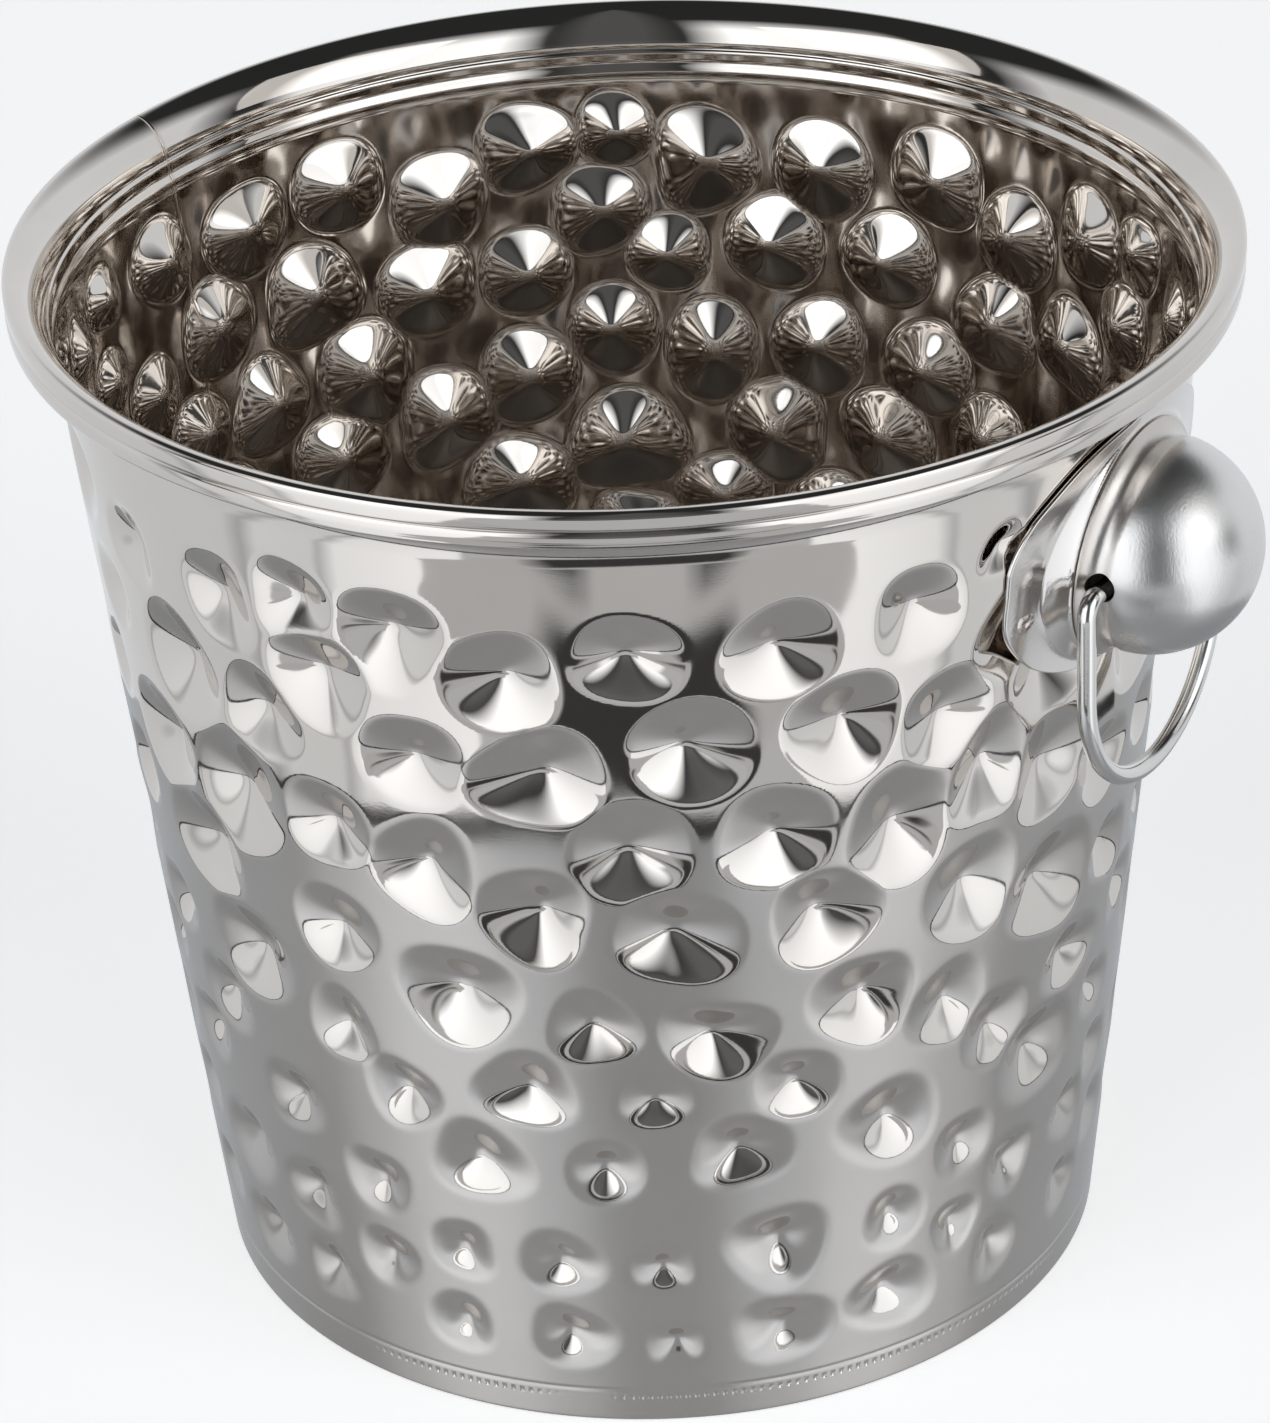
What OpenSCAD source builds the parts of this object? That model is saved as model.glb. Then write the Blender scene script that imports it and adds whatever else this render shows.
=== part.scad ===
// Hammered metal ice bucket with a rolled rim and two ball-shaped ring handles.
// Origin at the centre of the resting face, +Z up, handles on +X and -X.

/* [Bucket] */
// Height of the bucket to the top of the rolled rim
bucket_h = 194.5; // [170:0.5:210]
// Outer radius of the wall where it meets the table
base_r = 81.5; // [76:0.5:86]
// How much the wall's radius grows for each millimetre of height
wall_taper = 0.1034; // [0.06:0.0002:0.11]
// Thickness of the wall sheet
wall_t = 0.8; // [0.6:0.1:1.2]
// Outer radius of the rolled rim
rim_r = 108; // [106.5:0.5:110]

/* [Base] */
// Height of the plain band along the bottom edge
base_band_h = 7; // [5:0.5:9]
// Height of the pan's floor above the table
pan_lift = 7.4; // [6:0.2:9]
// Thickness of the base pan
pan_t = 0.8; // [0.6:0.1:1.2]

/* [Handle seat] */
// Half width of the seat plate around the bucket
plate_half_w = 34; // [30:0.5:36]
// Half height of the seat plate
plate_half_h = 22.5; // [20:0.5:23]
// Thickness of the seat plate
plate_t = 0.8; // [0.6:0.1:1]
// Height of the handle's centre above the table
knob_z = 158.3; // [156:0.1:160]
// Distance of the handle's centre from the bucket's axis
knob_x = 103; // [102.5:0.1:104]

/* [Handle ball] */
// Outer radius of the ball
ball_r = 19.05; // [18.5:0.05:19.5]
// Thickness of the ball's shell
ball_t = 0.8; // [0.6:0.1:1.2]
// Radius of the two ring holes
ring_hole_r = 2.6; // [2.5:0.05:2.8]

/* [Ring] */
// Thickness of the ring's wire
wire_d = 3.3; // [3:0.1:3.6]
// Radius of the ring's round lower part, to the middle of the wire
ring_r = 23.8; // [23.6:0.1:24.6]
// Depth of the round part's centre below the ring's pivot
ring_drop = 18; // [17:0.5:19]
// How far the ring's wire hangs below the middle of its holes
ring_sag = 0.6; // [0.5:0.1:0.8]

/* [Hidden] */
$fn = 96;
fn_round = 128;

// Outer radius of the wall at a height
function wall_r(z) = base_r + wall_taper * z;
// Slope of the wall, in degrees from upright
tilt = atan(wall_taper);
// Points along an elliptic arc, from angle a0 to a1
function arc(cx, cy, rx, ry, a0, a1, n) =
    [for (i = [0:n]) let (a = a0 + (a1 - a0) * i / n) [cx + rx * cos(a), cy + ry * sin(a)]];

// Heights on the rim, all counted down from the top
z_top = bucket_h;
z_edge = z_top - 1.6;
z_hem = z_top - 6.6;
z_crease = z_top - 7.7;
z_bead = z_top - 11.6;
z_wall = z_top - 13.2;

// The rolled lip is hollow: the sheet leaves the wall, turns over the
// crest and comes down outside it as a hem.
module wall_profile() {
    t = wall_t;
    ri = wall_r(z_wall) - t;
    outer = concat(
        [[wall_r(0), 0],
         // a shallow pressed line above the plain band
         [wall_r(base_band_h - 0.4), base_band_h - 0.4],
         [wall_r(base_band_h) - 0.25, base_band_h],
         [wall_r(base_band_h + 0.4), base_band_h + 0.4],
         [wall_r(z_wall - 1), z_wall - 1]],
        // the sheet flares under the hem
        arc(wall_r(z_wall - 1) + 6.2, z_wall - 1, 6.2, 9.4, 180, 98, 10),
        // inside of the hem, then its lower edge and its outer face
        [[rim_r - 1.35, z_edge - 1.2], [rim_r - 1.25, z_hem]],
        [[rim_r - 0.3, z_hem], [rim_r - 0.75, z_edge - 2.4], [rim_r - 0.05, z_edge - 1.2], [rim_r, z_edge]],
        arc(rim_r - 2.4, z_edge, 2.4, z_top - z_edge, 12, 90, 6)
    );
    inner = concat(
        arc(rim_r - 2.4, z_crease, rim_r - 2.4 - ri - 0.45, z_top - z_crease, 98, 180, 12),
        [[ri + 0.55, z_crease - 0.3], [ri + 0.5, z_bead + 1.4], [ri + 0.2, z_bead], [ri, z_wall],
         [wall_r(0) - t, 0]]
    );
    polygon(concat(outer, inner));
}

module bucket_wall() {
    color([0.80, 0.79, 0.77])
    rotate_extrude($fn = fn_round) wall_profile();
}

// A flat round floor whose flange turns down inside the wall to the table
module base_pan() {
    color([0.74, 0.73, 0.71])
    rotate_extrude($fn = fn_round)
    polygon(concat(
        [[0, pan_lift - pan_t], [0, pan_lift], [wall_r(pan_lift) - wall_t - 1.6, pan_lift]],
        arc(wall_r(pan_lift - 1.5) - wall_t - 1.6, pan_lift - 1.6, 1.6, 1.6, 75, 15, 4),
        [[wall_r(pan_lift - 1.6) - wall_t, pan_lift - 1.6], [wall_r(0) - wall_t, 0],
         [wall_r(0) - wall_t - pan_t, 0],
         [wall_r(pan_lift - 1.8) - wall_t - pan_t, pan_lift - 1.8],
         [wall_r(pan_lift) - wall_t - 1.7, pan_lift - pan_t]]));
}

// A solid cone that follows the wall, d outside its outer face
module wall_cone(d) {
    translate([0, 0, -20])
    cylinder(h = 240, r1 = wall_r(-20) + d, r2 = wall_r(220) + d, $fn = 360);
}

// Frame of the handle: Z runs outward, square to the wall
module handle_frame() {
    translate([knob_x, 0, knob_z]) rotate([0, 90 + tilt, 0]) children();
}

// Where the knob's back edge meets the plate, behind the ball's centre
seat_back = 3.9;

// Outline of the seat plate, seen along the handle's axis
function plate_outline() = [for (i = [0:47]) let (
        a = i * 7.5, c = cos(a), s = sin(a), n = 2.3,
        k = pow(pow(abs(c), n) + pow(abs(s), n), -1 / n))
    [plate_half_w * k * c, plate_half_h * k * s]];

// A thin plate that follows the wall, with a pressed ridge that rises
// to the knob's back edge
module seat_plate() {
    difference() {
        union() {
            intersection() {
                wall_cone(plate_t);
                translate([60, 0, knob_z + 1.7])
                rotate([90, 0, 90]) linear_extrude(60) polygon(plate_outline());
            }
            handle_frame()
            rotate_extrude($fn = fn_round)
            polygon([[ball_r + 0.6, -seat_back], [ball_r + 2.6, -seat_back],
                     [ball_r + 3.2, -seat_back - 0.3], [ball_r + 7.2, -seat_back - 4.4],
                     [ball_r + 7.2, -seat_back - 8], [ball_r + 0.6, -seat_back - 8]]);
        }
        wall_cone(0);
    }
}

// Distance in front of the ball's centre where its neck begins
neck_a = 1.3;
neck_r = sqrt(ball_r * ball_r - neck_a * neck_a);
neck_o = asin(neck_a / ball_r);
neck_i = asin(neck_a / (ball_r - ball_t));

// A hollow ball on a waisted neck, open at the back, with a hole on
// each side for the ring
module knob() {
    difference() {
        handle_frame()
        rotate_extrude($fn = 96)
        polygon(concat(
            // inside of the ball, from the front pole back to the neck
            [for (i = [0:20]) let (a = 90 - i * (90 - neck_i) / 20)
                [(ball_r - ball_t) * cos(a), (ball_r - ball_t) * sin(a)]],
            // inside of the neck
            [[neck_r - 1.04, neck_a - 1], [neck_r - 1.07, neck_a - 2.1],
             [neck_r - 0.75, neck_a - 3.4], [neck_r - 0.1, neck_a - 4.4],
             [neck_r + 0.9, -seat_back]],
            // outside of the neck
            [[neck_r + 2, -seat_back], [neck_r + 1.6, neck_a - 4.8],
             [neck_r + 0.6, neck_a - 4.1], [neck_r, neck_a - 3.2],
             [neck_r - 0.28, neck_a - 2.1], [neck_r - 0.25, neck_a - 1]],
            // outside of the ball
            [for (i = [0:20]) let (a = neck_o + i * (90 - neck_o) / 20)
                [ball_r * cos(a), ball_r * sin(a)]]));
        translate([knob_x, 0, knob_z]) rotate([90, 0, 0])
        cylinder(h = 60, r = ring_hole_r, center = true, $fn = 64);
    }
}

// Height of the ring's pivot, and where its wire turns down
pivot_z = knob_z - ring_sag;
bend_r = 3;
pin_in = 14.5;

// An open loop of wire whose two ends point at each other
module pull_ring() {
    w = wire_d / 2;
    translate([knob_x, 0, pivot_z]) {
        for (s = [1, -1]) {
            // end that sits in the ball's hole
            translate([0, s * pin_in, 0]) rotate([-90 * s, 0, 0])
                cylinder(h = ring_r - bend_r - pin_in, r = w, $fn = 48);
            // turn from the end to the leg
            translate([0, s * (ring_r - bend_r), -bend_r])
                rotate([90, 0, 90 * s]) rotate_extrude(angle = 90, $fn = 96)
                translate([bend_r, 0]) circle(r = w, $fn = 48);
            // straight leg
            translate([0, s * ring_r, -ring_drop])
                cylinder(h = ring_drop - bend_r, r = w, $fn = 48);
        }
        // round lower part
        translate([0, 0, -ring_drop])
            rotate([90, 0, 90]) rotate([0, 0, 180]) rotate_extrude(angle = 180, $fn = 192)
            translate([ring_r, 0]) circle(r = w, $fn = 48);
    }
}

module other_side() { rotate([0, 0, 180]) children(); }

module seat_plate_right() { color([0.78, 0.77, 0.76]) seat_plate(); }
module seat_plate_left() { color([0.78, 0.77, 0.76]) other_side() seat_plate(); }
module knob_right() { color([0.70, 0.70, 0.70]) knob(); }
module knob_left() { color([0.70, 0.70, 0.70]) other_side() knob(); }
module pull_ring_right() { color([0.83, 0.82, 0.81]) pull_ring(); }
module pull_ring_left() { color([0.83, 0.82, 0.81]) other_side() pull_ring(); }

bucket_wall();
base_pan();
seat_plate_right();
seat_plate_left();
knob_right();
knob_left();
pull_ring_right();
pull_ring_left();
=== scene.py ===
"""Looks of the hammered ice bucket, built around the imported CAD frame."""
import math
import bpy
import numpy as np
from mathutils import Matrix, Vector


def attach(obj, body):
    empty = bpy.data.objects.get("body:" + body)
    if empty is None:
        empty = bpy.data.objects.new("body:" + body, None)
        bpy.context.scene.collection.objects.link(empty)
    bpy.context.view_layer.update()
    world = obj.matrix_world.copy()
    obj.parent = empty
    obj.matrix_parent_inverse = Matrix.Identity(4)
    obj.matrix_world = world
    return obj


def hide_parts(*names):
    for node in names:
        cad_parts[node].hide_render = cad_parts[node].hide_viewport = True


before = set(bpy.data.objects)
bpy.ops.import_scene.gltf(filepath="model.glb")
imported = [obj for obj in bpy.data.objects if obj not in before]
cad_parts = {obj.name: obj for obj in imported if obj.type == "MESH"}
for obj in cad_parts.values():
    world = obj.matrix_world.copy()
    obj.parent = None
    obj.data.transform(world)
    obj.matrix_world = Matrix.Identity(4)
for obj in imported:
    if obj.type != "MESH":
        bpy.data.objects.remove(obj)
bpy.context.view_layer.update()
MM = 0.001

# ------------------------------------------------------------------ sizes, mm
BASE_R, TAPER, T = 81.5, 0.1034, 0.8
TOP, RIM = 194.5, 108.0
BAND = 7.0
KX, KZ = 103.0, 158.3
BALL_R, BALL_T, HOLE_R = 19.04, 0.8, 2.6
WIRE, RING_R, RING_DROP, BEND_R, PIN_IN, SAG = 3.3, 23.8, 18.0, 3.0, 14.5, 0.6
SEAM_A = 178.0
# light levels
FLOOR_GLOW, PANEL_NEAR, PANEL_FAR, BACK, AMBIENT, KEY = 0.50, 1.74, 1.20, 0.84, 0.03, 3.3
TABLE_LO, TABLE_HI = (0.575, 0.595, 0.62), (0.63, 0.65, 0.675)

TILT = math.atan(TAPER)


def wall_r(z):
    return BASE_R + TAPER * z


# ------------------------------------------------------------------ mesh tools
def make_mesh(name, verts, quads=None, tris=None, polys=None):
    """A mesh object from arrays, in metres."""
    me = bpy.data.meshes.new(name)
    if polys is not None:
        me.from_pydata([tuple(v) for v in verts], [], polys)
    else:
        parts = []
        if quads is not None and len(quads):
            parts.append(np.asarray(quads, np.int32))
        if tris is not None and len(tris):
            parts.append(np.asarray(tris, np.int32))
        me.vertices.add(len(verts))
        me.vertices.foreach_set("co", np.asarray(verts, np.float32).ravel())
        loops = np.concatenate([p.ravel() for p in parts])
        sizes = np.concatenate([np.full(len(p), p.shape[1], np.int32) for p in parts])
        starts = np.concatenate([[0], np.cumsum(sizes)[:-1]]).astype(np.int32)
        me.loops.add(len(loops))
        me.loops.foreach_set("vertex_index", loops)
        me.polygons.add(len(sizes))
        me.polygons.foreach_set("loop_start", starts)
        me.polygons.foreach_set("loop_total", sizes)
        me.update(calc_edges=True)
    me.validate()
    ob = bpy.data.objects.new(name, me)
    bpy.context.scene.collection.objects.link(ob)
    return ob


def grid_quads(rows, cols, close_rows=False, close_cols=True, flip=False):
    """Quads of a rows x cols lattice of vertices."""
    r = np.arange(rows if close_rows else rows - 1)
    c = np.arange(cols if close_cols else cols - 1)
    R, C = np.meshgrid(r, c, indexing="ij")
    R2, C2 = (R + 1) % rows, (C + 1) % cols
    q = np.stack([R * cols + C, R * cols + C2, R2 * cols + C2, R2 * cols + C], -1).reshape(-1, 4)
    return q[:, ::-1] if flip else q


def smooth(ob, angle=None):
    me = ob.data
    me.polygons.foreach_set("use_smooth", np.ones(len(me.polygons), bool))
    if angle is not None:
        me.set_sharp_from_angle(angle=math.radians(angle))
    me.update()


def lathe(name, profile, cols, matrix=None, closed=True):
    """Turns a closed (r, z) outline about Z; r = 0 points stay as poles."""
    p = np.asarray(profile, float)
    a = np.linspace(0, 2 * math.pi, cols, endpoint=False)
    V = np.stack([p[:, 0, None] * np.cos(a), p[:, 0, None] * np.sin(a),
                  np.repeat(p[:, 1, None], cols, 1)], -1)
    ob = make_mesh(name, V.reshape(-1, 3) * MM, grid_quads(len(p), cols, close_rows=closed))
    if matrix is not None:
        ob.data.transform(matrix)
    return ob


def clean(ob, dist=1e-6):
    import bmesh
    bm = bmesh.new()
    bm.from_mesh(ob.data)
    bmesh.ops.remove_doubles(bm, verts=bm.verts, dist=dist)
    bmesh.ops.dissolve_degenerate(bm, edges=bm.edges, dist=dist * 0.1)
    bmesh.ops.recalc_face_normals(bm, faces=bm.faces)
    bm.to_mesh(ob.data)
    bm.free()


# ------------------------------------------------------------------ materials
def new_mat(name):
    m = bpy.data.materials.new(name)
    m.use_nodes = True
    nt = m.node_tree
    nt.nodes.clear()
    out = nt.nodes.new("ShaderNodeOutputMaterial")
    b = nt.nodes.new("ShaderNodeBsdfPrincipled")
    nt.links.new(b.outputs["BSDF"], out.inputs["Surface"])
    return m, nt, b


class NT:
    """Small helper that keeps node graphs readable."""

    def __init__(self, nt):
        self.nt = nt

    def link(self, a, b):
        self.nt.links.new(a, b)

    def obj(self):
        return self.nt.nodes.new("ShaderNodeTexCoord").outputs["Object"]

    def noise(self, vec, scale, detail=3.0, rough=0.5, dist=0.0):
        n = self.nt.nodes.new("ShaderNodeTexNoise")
        n.inputs["Scale"].default_value = scale
        n.inputs["Detail"].default_value = detail
        n.inputs["Roughness"].default_value = rough
        n.inputs["Distortion"].default_value = dist
        self.link(vec, n.inputs["Vector"])
        return n.outputs["Fac"]

    def mapping(self, vec, scale=(1, 1, 1), rot=(0, 0, 0), loc=(0, 0, 0)):
        n = self.nt.nodes.new("ShaderNodeMapping")
        n.inputs["Scale"].default_value = scale
        n.inputs["Rotation"].default_value = rot
        n.inputs["Location"].default_value = loc
        self.link(vec, n.inputs["Vector"])
        return n.outputs["Vector"]

    def ramp(self, fac, stops):
        n = self.nt.nodes.new("ShaderNodeValToRGB")
        cr = n.color_ramp
        while len(cr.elements) < len(stops):
            cr.elements.new(0.5)
        for e, (pos, col) in zip(cr.elements, stops):
            e.position = pos
            e.color = (*col, 1) if len(col) == 3 else col
        self.link(fac, n.inputs["Fac"])
        return n.outputs["Color"]

    def rng(self, fac, a, b, lo=0.0, hi=1.0):
        n = self.nt.nodes.new("ShaderNodeMapRange")
        n.inputs["From Min"].default_value = lo
        n.inputs["From Max"].default_value = hi
        n.inputs["To Min"].default_value = a
        n.inputs["To Max"].default_value = b
        self.link(fac, n.inputs["Value"])
        return n.outputs["Result"]

    def math(self, op, a, b=None, clamp=False):
        n = self.nt.nodes.new("ShaderNodeMath")
        n.operation = op
        n.use_clamp = clamp
        for i, v in enumerate((a, b)):
            if v is None:
                continue
            if isinstance(v, (int, float)):
                n.inputs[i].default_value = v
            else:
                self.link(v, n.inputs[i])
        return n.outputs[0]

    def sep(self, vec):
        n = self.nt.nodes.new("ShaderNodeSeparateXYZ")
        self.link(vec, n.inputs[0])
        return n.outputs

    def mix(self, fac, a, b):
        n = self.nt.nodes.new("ShaderNodeMix")
        n.data_type = "RGBA"
        self.link(fac, n.inputs["Factor"])
        for s, v in (("A", a), ("B", b)):
            sock = [i for i in n.inputs if i.name == s and i.type == "RGBA"][0]
            if isinstance(v, tuple):
                sock.default_value = (*v, 1)
            else:
                self.link(v, sock)
        return [o for o in n.outputs if o.type == "RGBA"][0]

    def bump(self, height, strength, dist):
        n = self.nt.nodes.new("ShaderNodeBump")
        n.inputs["Strength"].default_value = strength
        n.inputs["Distance"].default_value = dist
        self.link(height, n.inputs["Height"])
        return n.outputs["Normal"]


def steel_polished(name, lo=(0.63, 0.587, 0.543), hi=(0.705, 0.663, 0.62), rough=(0.04, 0.07),
                   seam=False, fine=0.008, burn=False):
    m, nt, b = new_mat(name)
    g = NT(nt)
    co = g.obj()
    broad = g.noise(co, 18.0, 4.0, 0.55)
    col = g.ramp(broad, [(0.30, lo), (0.70, hi)])
    fine_n = g.noise(g.mapping(co, scale=(1, 1, 3.0)), 900.0, 3.0, 0.6)
    haze = g.noise(co, 60.0, 5.0, 0.6)
    r = g.rng(haze, rough[0], rough[1], 0.3, 0.7)
    height = fine_n
    if seam:
        x, y, z = g.sep(co)[0], g.sep(co)[1], g.sep(co)[2]
        # heat tint beside the upright weld
        ca, sa = math.cos(math.radians(SEAM_A)), math.sin(math.radians(SEAM_A))
        along = g.math("ADD", g.math("MULTIPLY", x, ca), g.math("MULTIPLY", y, sa))
        across = g.math("ADD", g.math("MULTIPLY", x, -sa), g.math("MULTIPLY", y, ca))
        near = g.rng(g.math("ABSOLUTE", across), 1.0, 0.0, 0.0001, 0.0012)
        side = g.math("GREATER_THAN", along, 0.0)
        tint = g.math("MULTIPLY", g.math("MULTIPLY", near, side), 0.40, clamp=True)
        col = g.mix(tint, col, (0.42, 0.33, 0.25))
        # a row of small seam-weld marks round the bottom band
        ang = g.math("ARCTAN2", y, x)
        wave = g.math("SINE", g.math("MULTIPLY", ang, 310.0))
        row = g.rng(g.math("ABSOLUTE", g.math("SUBTRACT", z, 0.0053)), 1.0, 0.0, 0.0001, 0.0007)
        patchy = g.rng(g.noise(co, 25.0, 2.0), 0.0, 1.0, 0.42, 0.58)
        dots = g.math("MULTIPLY", g.math("MULTIPLY", g.rng(wave, 0, 1, -0.2, 0.9), row), patchy)
        height = g.math("SUBTRACT", g.math("MULTIPLY", fine_n, 0.0025), dots)
        nrm = g.bump(height, 0.9, 0.00035)
        dark = g.math("MULTIPLY", dots, 0.35, clamp=True)
        col = g.mix(dark, col, (0.35, 0.33, 0.31))
    elif burn:
        x, y, z = g.sep(co)[0], g.sep(co)[1], g.sep(co)[2]
        yy = g.math("MULTIPLY", y, g.math("SIGN", x))
        dy, dz = g.math("ADD", yy, 0.0285), g.math("SUBTRACT", z, 0.154)
        d = g.math("SQRT", g.math("ADD", g.math("MULTIPLY", dy, dy), g.math("MULTIPLY", dz, dz)))
        d = g.math("ADD", d, g.math("MULTIPLY", g.math("SUBTRACT", g.noise(co, 420.0, 2.0), 0.5), 0.0014))
        col = g.mix(g.rng(d, 0.55, 0.0, 0.0006, 0.0024), col, (0.40, 0.28, 0.24))
        pit = g.math("SUBTRACT", g.rng(d, 1.0, 0.0, 0.0010, 0.0018), g.rng(d, 1.6, 0.0, 0.0002, 0.0010))
        nrm = g.bump(g.math("ADD", g.math("MULTIPLY", height, 0.05), pit), 0.8, 0.00035)
    else:
        nrm = g.bump(height, fine, 0.0002)
    g.link(col, b.inputs["Base Color"])
    g.link(r, b.inputs["Roughness"])
    g.link(nrm, b.inputs["Normal"])
    b.inputs["Metallic"].default_value = 1.0
    return m


def steel_satin(name):
    """Satin stainless steel with a short random grain."""
    m, nt, b = new_mat(name)
    g = NT(nt)
    co = g.obj()
    broad = g.noise(co, 45.0, 4.0, 0.55)
    col = g.ramp(broad, [(0.30, (0.67, 0.655, 0.635)), (0.70, (0.77, 0.755, 0.735))])
    grain = g.noise(g.mapping(co, scale=(1.0, 1.0, 0.35), rot=(0.5, 0.2, 0.0)), 2600.0, 4.0, 0.65)
    scuff = g.noise(g.mapping(co, scale=(2.5, 2.5, 0.6), rot=(0.3, 0.0, 0.4)), 700.0, 3.0, 0.6)
    r = g.rng(broad, 0.25, 0.34, 0.3, 0.7)
    # painted shade: the neck behind the ball, in the fillet against the plate, is darkened to a warm brown
    x, z = g.math("ABSOLUTE", g.sep(co)[0]), g.sep(co)[2]
    depth = g.math("SUBTRACT", g.math("MULTIPLY", g.math("SUBTRACT", x, KX * MM), math.cos(TILT)),
                   g.math("MULTIPLY", g.math("SUBTRACT", z, KZ * MM), math.sin(TILT)))
    col = g.mix(g.rng(depth, 0.42, 0.0, -0.0035, 0.0015), col, (0.42, 0.33, 0.25))
    h = g.math("ADD", g.math("MULTIPLY", grain, 0.6), g.math("MULTIPLY", scuff, 0.4))
    g.link(col, b.inputs["Base Color"])
    g.link(r, b.inputs["Roughness"])
    g.link(g.bump(h, 0.22, 0.0002), b.inputs["Normal"])
    b.inputs["Metallic"].default_value = 1.0
    return m


MAT_WALL = steel_polished("steel_hammered_polished", seam=True)
MAT_BASE = steel_polished("steel_base_rolled", lo=(0.46, 0.43, 0.40), hi=(0.55, 0.52, 0.49), rough=(0.30, 0.40), fine=0.02)
MAT_PLATE = steel_polished("steel_plate_polished", lo=(0.64, 0.61, 0.585), hi=(0.73, 0.70, 0.675), rough=(0.08, 0.14), burn=True)
MAT_RING = steel_polished("steel_wire_polished", lo=(0.66, 0.645, 0.62), hi=(0.76, 0.74, 0.715), rough=(0.10, 0.18), fine=0.05)
MAT_KNOB = steel_satin("steel_knob_satin")

# ------------------------------------------------------------------ the hammered wall
# Each mark: angle round the bucket in degrees, height, width in degrees, height of the
# mark in mm. The first list is the side in view, the second the inside in view.
MARKS_OUT = [
    (-111.8, 143, 12.1, 22), (-99.5, 141, 10, 17), (-103, 162, 9, 17), (-92.9, 167, 9, 14.5),
    (-118.6, 162, 8.5, 15), (-127, 147, 8.5, 14), (-119, 123, 12.3, 18.5), (-105.1, 122, 13, 23),
    (-92.6, 122.7, 9.5, 15.5), (-131.5, 130, 8, 13), (-113.9, 105.6, 13.3, 19), (-93.5, 100.7, 10.5, 16.5),
    (-129.5, 109.5, 8.5, 15), (-108.1, 86.7, 13.3, 18.5), (-94.7, 79.3, 8.5, 15.5), (-125.2, 84.5, 9, 13),
    (-115.9, 71.6, 10.7, 14.5), (-131.8, 73, 8.5, 13), (-122.9, 59, 9.9, 13.5), (-105, 57, 10.7, 14),
    (-92.9, 46, 9, 14), (-117.8, 37.4, 12.5, 16.5), (-104.6, 36, 9.5, 14), (-92.9, 28.7, 9, 13),
    (-130.3, 41, 8.5, 13), (-116.6, 18.8, 11.5, 14.5), (-103.4, 19.4, 8.7, 13.5), (-128.7, 22, 8.5, 13),
    (-91, 152.5, 11, 18), (-82.2, 163.9, 10.9, 19), (-71.2, 158, 10.9, 18.5), (-58.7, 163, 10.6, 15.5),
    (-81.3, 140, 10.5, 17), (-68.1, 139.2, 13, 17.5), (-52.9, 144.2, 12.7, 19), (-81.3, 118.2, 11.2, 19.5),
    (-69.8, 111, 11.5, 18), (-59.3, 124.4, 11.8, 18.5), (-54.7, 106.4, 13, 17), (-79, 92.6, 13.5, 19.5),
    (-64.2, 87.8, 9.5, 15.5), (-50.9, 84.5, 12.5, 15.5), (-87.5, 68.3, 9.3, 15), (-72.4, 73.5, 11.7, 15.5),
    (-57.9, 72.2, 8.6, 13), (-78.6, 56.5, 12, 17), (-63.8, 56.5, 9, 13.7), (-82.2, 35.6, 8.5, 13),
    (-70, 35.6, 10.5, 14), (-57.9, 34.6, 8, 12.5), (-83.6, 18.5, 8.7, 14), (-69.2, 18.8, 10.5, 14),
    (-56.8, 17, 7.5, 12), (-44, 162, 10.9, 18.5), (-29.7, 163.5, 9, 17), (-20, 170, 6, 9),
    (-37.4, 144.8, 12, 20), (-25.7, 141, 10, 17), (-44.4, 125, 11.3, 19), (-30.8, 121.8, 11.2, 22),
    (-19.7, 127, 9.2, 21), (-10, 121, 10.4, 20), (-39, 107, 11.8, 18.5), (-21, 103, 12, 20),
    (-34.3, 87.5, 11.7, 18.5), (-7.6, 95, 14.2, 21.5), (-23.2, 80.3, 10.5, 18.5), (-41.9, 72.2, 10, 14.3),
    (-15.6, 70, 10, 16.5), (-48.3, 59.4, 11.4, 15.5), (-30.4, 59, 13.5, 18), (-7.3, 58.5, 13.6, 19.5),
    (-19.5, 47, 8.5, 14), (-44, 37.2, 12, 18.5), (-29.2, 37, 8.6, 14), (-11, 37, 8.4, 13.5),
    (-20, 29.5, 7.7, 12.5), (-43.2, 18.2, 12, 15), (-28.9, 19.5, 13, 16), (-12.5, 19, 8.3, 14),
    (-10.5, 142, 13.0, 20), (-17.7, 152.5, 9.5, 18), (0.9, 113, 10.9, 15), (5.5, 91.5, 9.3, 14),
    (12.2, 78, 8.5, 13), (-2, 75, 12.3, 14), (6.3, 61, 8.5, 13), (8.9, 45.5, 7.5, 12),
    (1.7, 38, 9, 13), (2.5, 21, 8.5, 12), (13, 113, 8, 13), (7, 133, 11, 17),
]
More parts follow.
